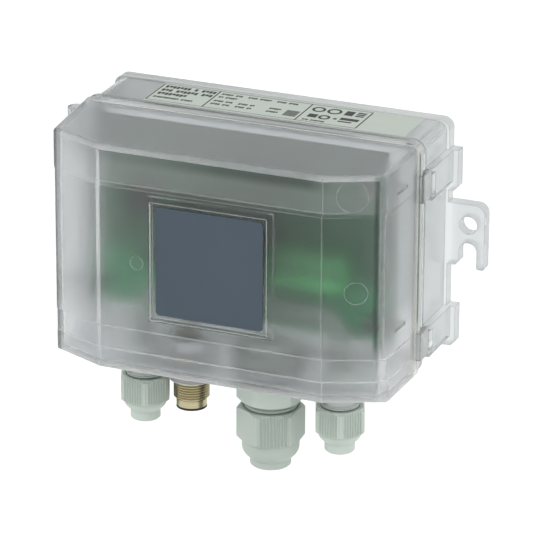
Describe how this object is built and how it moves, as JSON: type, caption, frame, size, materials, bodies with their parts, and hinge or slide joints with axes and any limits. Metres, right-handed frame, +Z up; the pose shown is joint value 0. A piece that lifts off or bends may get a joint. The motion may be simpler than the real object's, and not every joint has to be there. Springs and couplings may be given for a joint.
{
  "type": "pressure sensor",
  "caption": "Wall-mounted differential pressure sensor in a translucent bow-fronted hinged housing, with pressure ports, a cable gland and a round plug connector below.",
  "frame": {"origin": "centre of the rear face that lies on the wall, at the housing's mid-width and mid-height", "axes": "+X to the right as seen from the front, +Y into the wall, +Z up"},
  "size_m": [0.1472, 0.066, 0.1149],
  "materials": {
    "housing": "clear polycarbonate with a fine frosted inside",
    "label": "printed polyester foil",
    "foil": "blue-grey foil",
    "board": "green solder mask",
    "cell": "moulded grey plastic",
    "hose": "milky silicone",
    "terminal": "green moulded plastic",
    "can": "black shrunk sleeve",
    "black_plastic": "moulded black plastic",
    "gland": "light grey polyamide",
    "seal": "black rubber",
    "steel": "zinc plated",
    "brass": "nickel-flashed turned brass",
    "lead": "insulated wire"
  },
  "bodies": {
    "base": {"rear_base": "housing", "rating_label": "label", "seam_gasket": "seal", "hinge_pins": "steel"},
    "front": {"front_housing": "housing", "front_foil": "foil", "circuit_board": "board", "board_screws": "steel", "pressure_cell": "cell", "hose_left": "hose", "hose_right": "hose", "terminal_block": "terminal", "terminal_screws": "steel", "capacitors": "can", "board_chips": "black_plastic", "port_stub_left": "gland", "port_stub_right": "gland", "port_seal_left": "seal", "port_seal_right": "seal", "gland_body": "gland", "gland_washer": "seal", "gland_seal": "seal", "gland_locknut": "gland", "plug_shell": "brass", "plug_insert": "black_plastic", "plug_contacts": "brass", "plug_washer": "seal", "plug_locknut": "brass", "plug_leads": "lead"},
    "gland_cap": {"gland_nut": "gland"},
    "port_cap_left": {"port_nut_left": "gland"},
    "port_cap_right": {"port_nut_right": "gland"}
  },
  "joints": [
    {"name": "front_swing", "type": "hinge", "parent": "base", "child": "front", "pos_m": [-0.0636, -0.029, 0], "axis": [0, 0, -1], "range_deg": [0, 105]},
    {"name": "gland_cap_turn", "type": "hinge", "parent": "front", "child": "gland_cap", "pos_m": [0.0143, -0.046, -0.06], "axis": [0, 0, 1], "continuous": true},
    {"name": "port_cap_left_turn", "type": "hinge", "parent": "front", "child": "port_cap_left", "pos_m": [-0.0314, -0.046, -0.055], "axis": [0, 0, 1], "continuous": true},
    {"name": "port_cap_right_turn", "type": "hinge", "parent": "front", "child": "port_cap_right", "pos_m": [0.03905, -0.046, -0.055], "axis": [0, 0, 1], "continuous": true}
  ]
}
